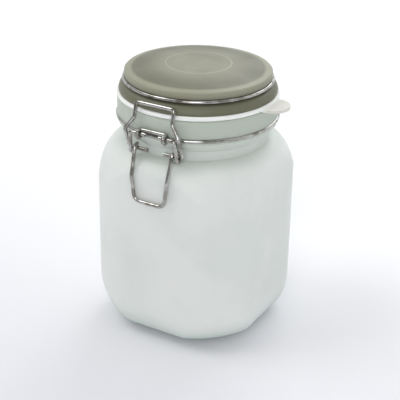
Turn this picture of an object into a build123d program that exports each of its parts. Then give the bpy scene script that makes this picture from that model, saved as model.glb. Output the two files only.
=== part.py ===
"""Bail clamp jar: a square frosted glass jar whose domed glass lid is held down by a wire clamp.

Frame: origin at the centre of the base on the jar's axis, +Z up, clamp on -Y, rear hinge on +Y,
the gasket's pull tab towards +X. All sizes are in millimetres and the lid is shut and clamped.
"""

import os
from math import cos, radians, sin, sqrt

from build123d import *

# ---------------------------------------------------------------- driving dimensions

# jar body: a rounded square that a turned form trims at the heel and at the shoulder
body_width = 106.0
corner_radius = 34.0
face_heel_radius = 19.0
base_radius = 33.0
heel_height = 38.5
heel_fullness = 0.7
shoulder_start = 86.0
shoulder_fullness = 0.58
neck_radius = 43.0
neck_height = 120.4
trim_margin = 0.3
edge_softness = 8.0
wall = 4.0
base_thickness = 7.0
foot_depth = 2.5
foot_radius = 28.0

# jar finish: the thick glass ring around the mouth
finish_height = 26.1
mouth_radius = 38.6
finish_radius = 48.4
rim_rounding = 1.4
bead_radius = 48.0
bead_height = 5.2
bead_foot_radius = 45.4
bead_undercut = 2.0

# lid: its heights are above the flange's widest line
lid_button_radius = 44.0
lid_button_undercut = 7.9
lid_edge_rise = 11.8
lid_edge_chamfer = 0.6
lid_bevel_radius = 38.7
lid_bevel_rise = 12.7
lid_dome_rise = 15.9
medallion_radius = 20.0
medallion_depth = 0.4
flange_radius = 47.5
flange_rise = 0.9
flange_taper = 0.4
shoulder_round = 5.0
lid_hollow_rise = 4.5
plug_length = 4.0
plug_clearance = 1.0
plug_wall = 6.0

# gasket
gasket_radius = 48.5
gasket_thickness = 2.6
gasket_edge_round = 0.8
tab_length = 11.5
tab_width = 20.0
tab_thickness = 1.8
tab_root = 3.0
tab_angle = 0.0

# wire rings
ring_wire = 2.2
ring_turn = 30.0
ring_bends = 5
neck_wire_drop = 11.8
neck_wire_radius = 48.2
lid_wire_rise = 6.6
lid_wire_radius = 44.2

# clamp: the lever turns in the neck ring's two ears, and the link turns in the lever's two coils
clamp_wire = 2.3
ear_spacing = 17.2
ear_stand_out = 3.25
ear_rise = 1.3
ear_bar_angle = 40.0
ear_bar_offset = 0.2
lever_stub_end = 4.6
lever_shoulder_x = 15.0
lever_shoulder_bend = 2.0
link_pivot_inset = 4.0
link_pivot_drop = 11.1
lever_coil_x = 12.6
coil_pitch = 3.0
lever_knee_x = 11.9
lever_knee_drop = 25.7
lever_knee_bend = 8.0
lever_length = 41.0
lever_bottom_width = 20.0
lever_corner_bend = 4.5
lever_standoff = 0.9
link_stub_end = 5.6
link_leg_x = 18.0
link_leg_out = 4.6
link_leg_length = 12.9
link_waist_half = 12.7
link_waist_out = 2.9
link_waist_length = 20.0
link_bar_half = 12.4
link_bar_angle = 30.0
link_foot_bend = 2.0
link_leg_bend = 3.0
link_waist_bend = 3.0
link_bar_bend = 1.6

# rear hinge: the neck ring's raised bar, and the lid ring's two hooks around it
hinge_stand_out = 4.5
hinge_drop = 5.5
hinge_bar_half = 16.0
hinge_leg_x = 11.2
hinge_lift_run = 9.5
hinge_lift_bend = 3.0
hinge_turn_bend = 3.0
hinge_corner_bend = 2.4
hook_pitch = 2.6
hook_end_gap = 0.9

# clearances
seat_gap = 0.25
wire_gap = 0.15
pin_gap = 0.08
move_gap = 0.35
ring_slack = 1.0
bend_slack = 0.1

# ---------------------------------------------------------------- sizes that follow

ring_r = ring_wire / 2
clamp_r = clamp_wire / 2
groove_r = ring_r + wire_gap
rim_height = neck_height + finish_height
gasket_bottom = rim_height + seat_gap
gasket_top = gasket_bottom + gasket_thickness
plug_radius = mouth_radius - plug_clearance
flange_height = gasket_top + flange_rise
neck_wire_height = rim_height - neck_wire_drop
lid_wire_height = flange_height + lid_wire_rise
corner_reach = (body_width / 2 - corner_radius) * sqrt(2) + corner_radius
shoulder_centre_r = flange_radius - shoulder_round

lever_pivot_y = -neck_wire_radius - ear_stand_out
lever_pivot_z = neck_wire_height + ear_rise
link_pivot_y = lever_pivot_y + link_pivot_inset
link_pivot_z = lever_pivot_z - link_pivot_drop
link_bar_reach = shoulder_round + clamp_r + move_gap
link_bar_y = -(shoulder_centre_r + link_bar_reach * cos(radians(link_bar_angle)))
link_bar_z = flange_height + link_bar_reach * sin(radians(link_bar_angle))
hinge_y = gasket_radius + hinge_stand_out
hinge_z = rim_height - hinge_drop

ear_radius = clamp_r + pin_gap + ring_r
coil_radius = clamp_r + pin_gap + clamp_r
hook_radius = ring_r + pin_gap + ring_r


# ---------------------------------------------------------------- helpers

def turned(*edges):
    """Solid of revolution about Z from a closed outline drawn in (radius, height)."""
    outline = Plane.XZ * make_face(Wire(list(edges)))
    return revolve(outline, Axis.Z)


def chain(*points):
    """Straight edges through the given (radius, height) points."""
    return [Line(a, b).edge() for a, b in zip(points, points[1:])]


def tube(path, diameter):
    """A round wire swept along a path."""
    section = Plane(origin=path @ 0, z_dir=path % 0) * Circle(diameter / 2)
    return sweep(section, path=path)


def bent_wire(points, radii, diameter):
    """A round wire along straight runs joined by tangent bends."""
    return tube(FilletPolyline(*points, radius=radii), diameter)


def both_sides(half):
    """A half and its mirror image across the YZ plane, as one solid."""
    return half + half.mirror(Plane.YZ)


# ---------------------------------------------------------------- jar

def quarter(start, corner, end, fullness):
    """A quarter curve that leaves start and reaches end along the two lines to their corner."""
    first = tuple(p + fullness * (q - p) for p, q in zip(start, corner))
    last = tuple(p + fullness * (q - p) for p, q in zip(end, corner))
    return Bezier(start, first, last, end).edge()


def jar_form(inset, floor):
    """The jar body's outer form, or with an inset the form of the space inside it."""
    width = body_width - 2 * inset
    prism = extrude(RectangleRounded(width, width, corner_radius - inset), neck_height)
    prism = fillet(prism.edges().group_by(Axis.Z)[0], face_heel_radius - inset)
    prism = prism.moved(Location((0, 0, floor)))
    widest = corner_reach + trim_margin - inset
    base = base_radius - inset
    neck = neck_radius - inset
    top = neck_height - inset
    trimmer = turned(
        *chain((neck, top), (0, top), (0, floor), (base, floor)),
        quarter((base, floor), (widest, floor), (widest, heel_height), heel_fullness),
        *chain((widest, heel_height), (widest, shoulder_start)),
        quarter((widest, shoulder_start), (widest, top), (neck, top), shoulder_fullness),
    )
    form = prism & trimmer
    trims = form.edges().filter_by(GeomType.BSPLINE)
    return fillet(trims, edge_softness)


def make_jar():
    """The whole jar: body, finish with its wire groove and bead, and the push-up base."""
    throat = neck_height - wall
    bead_top = neck_wire_height - groove_r
    bead_bottom = bead_top - bead_height
    finish = turned(
        *chain(
            (mouth_radius, throat),
            (neck_radius, throat),
            (neck_radius, bead_bottom - bead_undercut),
            (bead_foot_radius, bead_bottom),
            (bead_radius, bead_top - bead_undercut),
            (bead_radius, neck_wire_height),
            (finish_radius, neck_wire_height),
            (finish_radius, rim_height),
            (mouth_radius, rim_height),
            (mouth_radius, throat),
        )
    )
    finish = fillet(finish.edges().group_by(Axis.Z)[-1], rim_rounding)
    groove = Pos(0, 0, neck_wire_height) * Torus(neck_wire_radius, groove_r)
    space = jar_form(wall, base_thickness)
    mouth = Pos(0, 0, throat - wall) * upright(Cylinder(mouth_radius, 2 * finish_height))
    push_up = upright(Cone(foot_radius, foot_radius - foot_depth, foot_depth))
    return jar_form(0, 0) + finish - groove - space - mouth - push_up


def upright(solid):
    """The same solid, standing on the XY plane."""
    return Pos(0, 0, -solid.bounding_box().min.Z) * solid


def make_lid():
    """The lid: domed button, wire groove, rounded flange and the plug that enters the mouth."""
    groove_root = lid_wire_radius - groove_r
    shoulder_top = flange_height + shoulder_round
    button_bottom = flange_height + lid_button_undercut
    edge_top = flange_height + lid_edge_rise
    bevel_top = flange_height + lid_bevel_rise
    dome_top = flange_height + lid_dome_rise
    hollow_top = flange_height + lid_hollow_rise
    plug_bottom = gasket_bottom - plug_length
    hollow_radius = plug_radius - plug_wall
    dome_curve = arc_radius(dome_top - bevel_top, lid_bevel_radius)
    button_corner = (lid_button_radius - lid_edge_chamfer, edge_top)
    button_edge = (lid_button_radius, edge_top - lid_edge_chamfer)
    body = turned(
        RadiusArc((0, dome_top), (lid_bevel_radius, bevel_top), dome_curve).edge(),
        *chain(
            (lid_bevel_radius, bevel_top),
            button_corner,
            button_edge,
            (lid_button_radius, button_bottom),
            (groove_root, button_bottom),
            (groove_root, shoulder_top),
            (shoulder_centre_r, shoulder_top),
        ),
        RadiusArc((shoulder_centre_r, shoulder_top), (flange_radius, flange_height),
                  shoulder_round).edge(),
        *chain(
            (flange_radius, flange_height),
            (flange_radius - flange_taper, gasket_top),
            (plug_radius, gasket_top),
            (plug_radius, plug_bottom),
            (hollow_radius, plug_bottom),
            (hollow_radius, hollow_top),
            (0, hollow_top),
            (0, dome_top),
        ),
    )
    medallion = Pos(0, 0, dome_top) * Cylinder(medallion_radius, 2 * medallion_depth)
    return body - medallion


def arc_radius(sag, half_chord):
    """Radius of the arc that drops by the sag over half of its chord."""
    return (sag**2 + half_chord**2) / (2 * sag)


def make_gasket():
    """The flat silicone ring under the lid's flange, with its pull tab."""
    inner = plug_radius + seat_gap
    ring = turned(
        *chain(
            (inner, gasket_bottom),
            (gasket_radius, gasket_bottom),
            (gasket_radius, gasket_top),
            (inner, gasket_top),
            (inner, gasket_bottom),
        )
    )
    circles = ring.edges().filter_by(GeomType.CIRCLE)
    ring = fillet(circles.sort_by(SortBy.RADIUS)[-2:], gasket_edge_round)
    reach = gasket_radius + tab_length - tab_width / 2
    middle = (gasket_bottom + gasket_top) / 2
    strip = Pos(reach / 2, 0, middle) * Box(reach, tab_width, tab_thickness)
    tip = Pos(reach, 0, middle) * Cylinder(tab_width / 2, tab_thickness)
    clear = Pos(0, 0, middle) * Cylinder(gasket_radius - tab_root, 2 * tab_thickness)
    tab = (strip + tip - clear).rotate(Axis.Z, tab_angle)
    return ring + tab


# ---------------------------------------------------------------- wires

def ring_corners(radius, height, count):
    """The first corners of the twelve-sided figure around a ring, from the front towards +X."""
    half_turn = ring_turn / 2
    reach = radius / cos(radians(half_turn))
    turns = [half_turn + ring_turn * step for step in range(count)]
    return [(reach * sin(radians(a)), -reach * cos(radians(a)), height) for a in turns]


def make_neck_ring():
    """The wire around the neck: two front ears with a bar between, and the raised hinge bar."""
    corners = ring_corners(neck_wire_radius, neck_wire_height, ring_bends)
    along = radians(ring_turn * ring_bends)
    lift_x = neck_wire_radius * sin(along) + hinge_lift_run * cos(along)
    lift_y = -neck_wire_radius * cos(along) + hinge_lift_run * sin(along)
    half = bent_wire(
        [
            (0, -neck_wire_radius, neck_wire_height),
            *corners,
            (lift_x, lift_y, neck_wire_height),
            (hinge_bar_half, hinge_y, hinge_z),
            (0, hinge_y, hinge_z),
        ],
        [neck_wire_radius - ring_slack] * ring_bends + [hinge_lift_bend, hinge_corner_bend],
        ring_wire,
    )
    ring = both_sides(half)
    bar_reach = ear_radius + ear_bar_offset
    bar_y = lever_pivot_y + bar_reach * sin(radians(ear_bar_angle))
    bar_z = lever_pivot_z + bar_reach * cos(radians(ear_bar_angle))
    ears = Pos(0, bar_y, bar_z) * Rot(0, 90, 0) * Cylinder(ring_r, ear_spacing)
    for side in (-1, 1):
        ear_centre = (side * ear_spacing / 2, lever_pivot_y, lever_pivot_z)
        ears += Pos(ear_centre) * Rot(0, 90, 0) * Torus(ear_radius, ring_r)
    return ring + ears


def make_lid_ring():
    """The wire in the lid's groove, whose two ends hook around the hinge bar."""
    corners = ring_corners(lid_wire_radius, lid_wire_height, ring_bends + 1)
    inner_y = hinge_y - hook_radius
    outer_y = hinge_y + hook_radius
    low_z = hinge_z - hook_radius
    high_z = hinge_z + hook_radius
    half = bent_wire(
        [
            (0, -lid_wire_radius, lid_wire_height),
            *corners,
            (hinge_leg_x, inner_y, lid_wire_height),
            (hinge_leg_x, inner_y, low_z),
            (hinge_leg_x - hook_pitch / 3, outer_y, low_z),
            (hinge_leg_x - 2 * hook_pitch / 3, outer_y, high_z),
            (hinge_leg_x - hook_pitch, inner_y + hook_end_gap, high_z),
        ],
        [lid_wire_radius - ring_slack] * ring_bends
        + [hinge_turn_bend, hinge_corner_bend]
        + [hook_radius - bend_slack] * 3,
        ring_wire,
    )
    return both_sides(half)


def make_lever():
    """The lever: stubs in the ears, a coil for the link on each side, and the finger loop."""
    front_y = link_pivot_y - coil_radius
    back_y = link_pivot_y + coil_radius
    low_z = link_pivot_z - coil_radius
    high_z = link_pivot_z + coil_radius
    loop_y = -body_width / 2 - clamp_r - lever_standoff
    bottom_z = lever_pivot_z - lever_length
    coil_bend = coil_radius - bend_slack
    half = bent_wire(
        [
            (lever_stub_end, lever_pivot_y, lever_pivot_z),
            (lever_shoulder_x, lever_pivot_y, lever_pivot_z),
            (lever_coil_x + coil_pitch, front_y, low_z),
            (lever_coil_x + 0.85 * coil_pitch, back_y, low_z),
            (lever_coil_x + 0.4 * coil_pitch, back_y, high_z),
            (lever_coil_x, front_y, high_z),
            (lever_knee_x, loop_y, lever_pivot_z - lever_knee_drop),
            (lever_bottom_width / 2, loop_y, bottom_z),
            (0, loop_y, bottom_z),
        ],
        [lever_shoulder_bend] + [coil_bend] * 4 + [lever_knee_bend, lever_corner_bend],
        clamp_wire,
    )
    return both_sides(half)


def make_link():
    """The link: stubs in the lever's coils, cranked legs, and the bar that holds the lid down."""
    leg_top = (link_leg_x, link_pivot_y - link_leg_out, link_pivot_z + link_leg_length)
    waist = (link_waist_half, link_pivot_y - link_waist_out, link_pivot_z + link_waist_length)
    half = bent_wire(
        [
            (link_stub_end, link_pivot_y, link_pivot_z),
            (link_leg_x, link_pivot_y, link_pivot_z),
            leg_top,
            waist,
            (link_bar_half, link_bar_y, link_bar_z),
            (0, link_bar_y, link_bar_z),
        ],
        [link_foot_bend, link_leg_bend, link_waist_bend, link_bar_bend],
        clamp_wire,
    )
    return both_sides(half)


# ---------------------------------------------------------------- parts

def main():
    """Builds every piece and writes one STEP file for each."""
    pieces = {
        "jar_glass": make_jar,
        "lid_glass": make_lid,
        "gasket": make_gasket,
        "neck_ring": make_neck_ring,
        "lid_ring": make_lid_ring,
        "closing_lever": make_lever,
        "closing_link": make_link,
    }
    os.makedirs("parts", exist_ok=True)
    for name, make in pieces.items():
        export_step(make(), f"parts/{name}.step")


main()
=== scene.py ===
"""Looks of the bail clamp jar: frosted jar glass, grey-green lid glass, white silicone, plated wire."""
import math

import bpy
from mathutils import Matrix, Vector


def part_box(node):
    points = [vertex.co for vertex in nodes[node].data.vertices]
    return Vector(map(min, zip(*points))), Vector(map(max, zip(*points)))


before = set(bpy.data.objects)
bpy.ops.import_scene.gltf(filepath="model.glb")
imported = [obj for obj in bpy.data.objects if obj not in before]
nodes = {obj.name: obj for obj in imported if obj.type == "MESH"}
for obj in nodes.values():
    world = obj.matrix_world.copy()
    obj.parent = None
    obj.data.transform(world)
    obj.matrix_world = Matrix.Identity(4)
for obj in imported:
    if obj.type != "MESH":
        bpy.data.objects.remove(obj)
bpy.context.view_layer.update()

# ---------------------------------------------------------------- node helpers


class Tree:
    """A new node material, with short calls for the nodes it uses."""

    def __init__(self, name):
        self.material = bpy.data.materials.new(name)
        self.material.use_nodes = True
        self.nodes = self.material.node_tree.nodes
        self.links = self.material.node_tree.links
        self.shader = self.nodes["Principled BSDF"]
        self.place = self.nodes.new("ShaderNodeTexCoord").outputs["Object"]

    def put(self, socket, value):
        """Links a socket's output to an input, or sets a plain value on it."""
        if isinstance(value, bpy.types.NodeSocket):
            self.links.new(value, socket)
        else:
            socket.default_value = value

    def set(self, **values):
        """Sets the main shader's sockets by name, with _ for a space."""
        for name, value in values.items():
            self.put(self.shader.inputs[name.replace("_", " ")], value)

    def noise(self, scale, detail=3.0, rough=0.5, stretch=(1, 1, 1)):
        """Noise in the object's own metres, between about 0.3 and 0.7."""
        mapping = self.nodes.new("ShaderNodeMapping")
        mapping.inputs["Scale"].default_value = stretch
        self.links.new(self.place, mapping.inputs["Vector"])
        node = self.nodes.new("ShaderNodeTexNoise")
        node.inputs["Scale"].default_value = scale
        node.inputs["Detail"].default_value = detail
        node.inputs["Roughness"].default_value = rough
        self.links.new(mapping.outputs["Vector"], node.inputs["Vector"])
        return node.outputs["Fac"]

    def math(self, operation, a, b=0.0):
        """One math node's output."""
        node = self.nodes.new("ShaderNodeMath")
        node.operation = operation
        self.put(node.inputs[0], a)
        self.put(node.inputs[1], b)
        return node.outputs[0]

    def along(self, axis):
        """The point's X, Y or Z in metres."""
        split = self.nodes.new("ShaderNodeSeparateXYZ")
        self.links.new(self.place, split.inputs[0])
        return split.outputs["XYZ".index(axis)]

    def radius(self):
        """The point's distance from the jar's axis in metres."""
        x, y = self.along("X"), self.along("Y")
        x2 = self.math("MULTIPLY", x, x)
        y2 = self.math("MULTIPLY", y, y)
        return self.math("SQRT", self.math("ADD", x2, y2))

    def span(self, value, low, high, to_low=0.0, to_high=1.0):
        """The value mapped from one range to another, clamped, with soft ends."""
        node = self.nodes.new("ShaderNodeMapRange")
        node.interpolation_type = "SMOOTHSTEP"
        self.put(node.inputs["Value"], value)
        self.put(node.inputs["From Min"], low)
        self.put(node.inputs["From Max"], high)
        self.put(node.inputs["To Min"], to_low)
        self.put(node.inputs["To Max"], to_high)
        return node.outputs["Result"]

    def mix(self, factor, a, b):
        """A colour between a and b."""
        node = self.nodes.new("ShaderNodeMix")
        node.data_type = "RGBA"
        self.put(node.inputs[0], factor)
        self.put(node.inputs[6], a)
        self.put(node.inputs[7], b)
        return node.outputs[2]

    def bump(self, height, strength, distance):
        """A bump normal from a height."""
        node = self.nodes.new("ShaderNodeBump")
        node.inputs["Strength"].default_value = strength
        node.inputs["Distance"].default_value = distance
        self.links.new(height, node.inputs["Height"])
        return node.outputs["Normal"]


def rgb(red, green, blue):
    """A display colour from 0 to 255, none near black, as the linear colour a shader takes."""
    linear = [((c / 255 + 0.055) / 1.055) ** 2.4 for c in (red, green, blue)]
    return (*linear, 1.0)


# ---------------------------------------------------------------- materials


def frosted_jar():
    """Acid-frosted pale glass: soft and cloudy, darker and greener at the heel and at the finish, with
    painted shade on the neck below the neck wire.
    """
    t = Tree("frosted_jar")
    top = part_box("jar_glass")[1].z
    cloud = t.span(t.noise(22, 4), 0.35, 0.65)
    colour = t.mix(cloud, rgb(222, 228, 223), rgb(229, 233, 229))
    z = t.along("Z")
    heel_top = 0.022
    finish_low, finish_high = top - 0.0175, top - 0.0125
    neck_low, neck_high = top - 0.032, top - 0.024
    # Darker and greener towards the bottom of the heel.
    heel = t.span(z, 0.0, heel_top, 1.0, 0.0)
    colour = t.mix(t.math("MULTIPLY", heel, 0.55), colour, rgb(176, 196, 188))
    finish = t.span(z, finish_low, finish_high)
    colour = t.mix(t.math("MULTIPLY", finish, 0.9), colour, rgb(180, 190, 177))
    # Painted shade: the neck below the neck wire is painted darker, up to the finish.
    neck = t.span(z, neck_low, neck_high, 0.0, 0.45)
    shade = t.math("MULTIPLY", neck, t.math("SUBTRACT", 1.0, finish))
    colour = t.mix(shade, colour, rgb(186, 196, 186))
    grain = t.noise(2600, 2, 0.6)
    flow = t.noise(9, 2, 0.4, (1, 1, 0.35))
    relief = t.math("ADD", t.math("MULTIPLY", grain, 0.12), t.math("MULTIPLY", flow, 0.7))
    t.set(
        Base_Color=colour,
        Roughness=t.span(t.noise(60, 3), 0.3, 0.7, 0.46, 0.6),
        Normal=t.bump(relief, 0.35, 0.0004),
        IOR=1.5,
        Subsurface_Weight=0.35,
        Subsurface_Radius=(1.0, 1.0, 1.0),
        Subsurface_Scale=0.012,
        Coat_Weight=0.08,
        Coat_Roughness=0.35,
    )
    return t.material


def lid_glass():
    """Grey-green frosted lid glass. Painted shade shows the hollow under the button as a darker disc,
    painted highlights lighten the medallion ring and the sloping rim, and the flange is painted darker,
    partly its own tone and partly painted shade under the top disc.
    """
    t = Tree("grey_green_lid")
    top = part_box("lid_glass")[1].z
    r = t.radius()
    z = t.along("Z")
    medallion = 0.020
    button_low, button_high = top - 0.009, top - 0.005
    cloud = t.span(t.noise(30, 4), 0.35, 0.65)
    colour = t.mix(cloud, rgb(132, 132, 113), rgb(142, 142, 123))
    # Painted shade: darker outward from the medallion, for the hollow under the button seen through the
    # glass.
    lens = t.span(r, medallion - 0.001, 0.036)
    colour = t.mix(t.math("MULTIPLY", lens, 0.7), colour, rgb(96, 96, 78))
    # Painted highlight: a thin lighter line at the medallion ring, where its edge catches the light.
    ring_out = t.span(r, medallion - 0.0004, medallion + 0.0004, 1.0, 0.0)
    ring_in = t.span(r, medallion - 0.0012, medallion - 0.0006)
    ring = t.math("MULTIPLY", ring_in, ring_out)
    colour = t.mix(t.math("MULTIPLY", ring, 0.55), colour, rgb(170, 168, 150))
    button = t.span(z, button_low, button_high)
    # Painted highlight: the sloping rim of the top disc is painted lighter.
    rim_highlight = t.math("MULTIPLY", t.span(r, 0.0385, 0.0410), button)
    colour = t.mix(rim_highlight, colour, rgb(148, 148, 128))
    # Painted darker below the top disc: partly the flange's own darker glass, partly painted shade
    # under the top disc and the wire.
    low = t.span(z, top - 0.0115, top - 0.0095, 1.0, 0.0)
    colour = t.mix(low, colour, rgb(108, 108, 88))
    grain = t.noise(2600, 2, 0.6)
    flow = t.noise(14, 2, 0.4)
    relief = t.math("ADD", t.math("MULTIPLY", grain, 0.08), t.math("MULTIPLY", flow, 0.6))
    t.set(
        Base_Color=colour,
        Roughness=t.span(t.noise(70, 3), 0.3, 0.7, 0.44, 0.56),
        Normal=t.bump(relief, 0.3, 0.0004),
        IOR=1.5,
        Subsurface_Weight=0.15,
        Subsurface_Radius=(1.0, 1.0, 0.9),
        Subsurface_Scale=0.006,
        Coat_Weight=0.12,
        Coat_Roughness=0.3,
        Specular_IOR_Level=0.35,
    )
    return t.material


def silicone():
    """Matt white silicone, with a faint moulding texture and painted shade on the tab."""
    t = Tree("white_silicone")
    cloud = t.span(t.noise(90, 3), 0.35, 0.65)
    colour = t.mix(cloud, rgb(244, 248, 243), rgb(250, 252, 249))
    # Painted shade: the tab beyond x = 47 mm is painted greyer.
    tab = t.span(t.along("X"), 0.047, 0.052)
    colour = t.mix(t.math("MULTIPLY", tab, 0.85), colour, rgb(206, 204, 194))
    grain = t.noise(1500, 3, 0.6)
    t.set(
        Base_Color=colour,
        Roughness=t.span(t.noise(200, 2), 0.3, 0.7, 0.42, 0.58),
        Normal=t.bump(grain, 0.2, 0.0001),
        IOR=1.42,
        Subsurface_Weight=0.3,
        Subsurface_Radius=(1.0, 1.0, 1.0),
        Subsurface_Scale=0.003,
    )
    return t.material


def plated_wire(name, tint):
    """Bright plated steel wire, with drawing marks and slightly dull patches."""
    t = Tree(name)
    patch = t.span(t.noise(170, 4), 0.4, 0.65)
    colour = t.mix(patch, tint, rgb(140, 136, 128))
    marks = t.noise(900, 2, 0.5)
    t.set(
        Base_Color=colour,
        Metallic=1.0,
        Roughness=t.span(t.noise(320, 3), 0.3, 0.7, 0.09, 0.2),
        Normal=t.bump(marks, 0.05, 0.00005),
    )
    return t.material


def dress(name, material):
    """Gives a CAD node's every slot one material."""
    mesh = nodes[name].data
    if not mesh.materials:
        mesh.materials.append(material)
    for i in range(len(mesh.materials)):
        mesh.materials[i] = material


dress("jar_glass", frosted_jar())
dress("lid_glass", lid_glass())
dress("gasket", silicone())
ring_metal = plated_wire("ring_wire", rgb(186, 186, 183))
clamp_metal = plated_wire("clamp_wire", rgb(192, 192, 189))
for ring in ("neck_ring", "lid_ring"):
    dress(ring, ring_metal)
for wire in ("closing_lever", "closing_link"):
    dress(wire, clamp_metal)

# ---------------------------------------------------------------- floor and light


def floor():
    """A pale sheet, much wider than the view, with painted light: brighter towards the back, darker
    towards the camera.
    """
    half = 6.0
    mesh = bpy.data.meshes.new("floor")
    corners = [(-half, -half, 0), (half, -half, 0), (half, half, 0), (-half, half, 0)]
    mesh.from_pydata(corners, [], [(0, 1, 2, 3)])
    obj = bpy.data.objects.new("floor", mesh)
    bpy.context.scene.collection.objects.link(obj)
    t = Tree("floor_paper")
    # Painted light: the floor is painted darker towards the camera and brighter towards the back.
    floor_falloff_light = t.span(t.along("Y"), -0.30, 0.30)
    paper = t.mix(t.span(t.noise(1.2, 2), 0.3, 0.7), rgb(218, 218, 224), rgb(222, 222, 228))
    t.set(
        Base_Color=t.mix(floor_falloff_light, paper, rgb(250, 250, 252)),
        Roughness=0.9,
        Normal=t.bump(t.noise(900, 2), 0.05, 0.0001),
    )
    mesh.materials.append(t.material)


def soft_light(name, place, target, size, power, tint):
    """A square area light that looks at a target."""
    data = bpy.data.lights.new(name, "AREA")
    data.shape = "SQUARE"
    data.size = size
    data.energy = power
    data.color = tint
    obj = bpy.data.objects.new(name, data)
    obj.location = place
    aim = Vector(target) - Vector(place)
    obj.rotation_euler = aim.to_track_quat("-Z", "Y").to_euler()
    bpy.context.scene.collection.objects.link(obj)


def sky():
    """An even pale surround, bright behind the jar and dimmer in front, so the wire has contrast."""
    world = bpy.data.worlds.new("studio")
    world.use_nodes = True
    tree = world.node_tree
    place = tree.nodes.new("ShaderNodeTexCoord")
    split = tree.nodes.new("ShaderNodeSeparateXYZ")
    across = tree.nodes.new("ShaderNodeMapRange")
    across.interpolation_type = "SMOOTHSTEP"
    across.inputs["From Min"].default_value = -0.75
    across.inputs["From Max"].default_value = 0.55
    across.inputs["To Min"].default_value = 0.30
    across.inputs["To Max"].default_value = 0.92
    tree.links.new(place.outputs["Generated"], split.inputs[0])
    tree.links.new(split.outputs[1], across.inputs["Value"])
    tree.links.new(across.outputs["Result"], tree.nodes["Background"].inputs["Strength"])
    tree.nodes["Background"].inputs["Color"].default_value = (0.97, 0.985, 1.0, 1)
    bpy.context.scene.world = world


floor()
sky()
# name, place, target, size, watts, tint
soft_light("key", (-0.9, -0.5, 1.5), (0, 0, 0.08), 0.9, 9, (1.0, 0.99, 0.97))
soft_light("fill", (0.6, -1.5, 0.8), (0, 0, 0.08), 0.8, 10, (1.0, 0.99, 0.98))
soft_light("back", (-0.2, 1.7, 1.3), (0, 1.2, 0.0), 1.2, 12, (1.0, 1.0, 1.0))

# ---------------------------------------------------------------- camera

azimuth = math.radians(30.0)
elevation = math.radians(26.1)
roll = math.radians(0.9)
distance = 0.6927
look_height = 0.0714
lens_mm = 99.37
sensor_mm = 36.0
shift = (0.009, 0.013)

level = math.cos(elevation)
back = Vector((math.sin(azimuth) * level, -math.cos(azimuth) * level, math.sin(elevation)))
right = Vector((math.cos(azimuth), math.sin(azimuth), 0))
up = back.cross(right)
rolled_right = right * math.cos(roll) + up * math.sin(roll)
rolled_up = up * math.cos(roll) - right * math.sin(roll)
camera_data = bpy.data.cameras.new("camera")
camera_data.sensor_width = sensor_mm
camera_data.lens = lens_mm
camera_data.shift_x, camera_data.shift_y = shift
camera = bpy.data.objects.new("camera", camera_data)
bpy.context.scene.collection.objects.link(camera)
axes = Matrix((rolled_right, rolled_up, back)).transposed().to_4x4()
place = Vector((0, 0, look_height)) + back * distance
camera.matrix_world = Matrix.Translation(place) @ axes
bpy.context.scene.camera = camera
bpy.context.scene.view_settings.view_transform = "Standard"
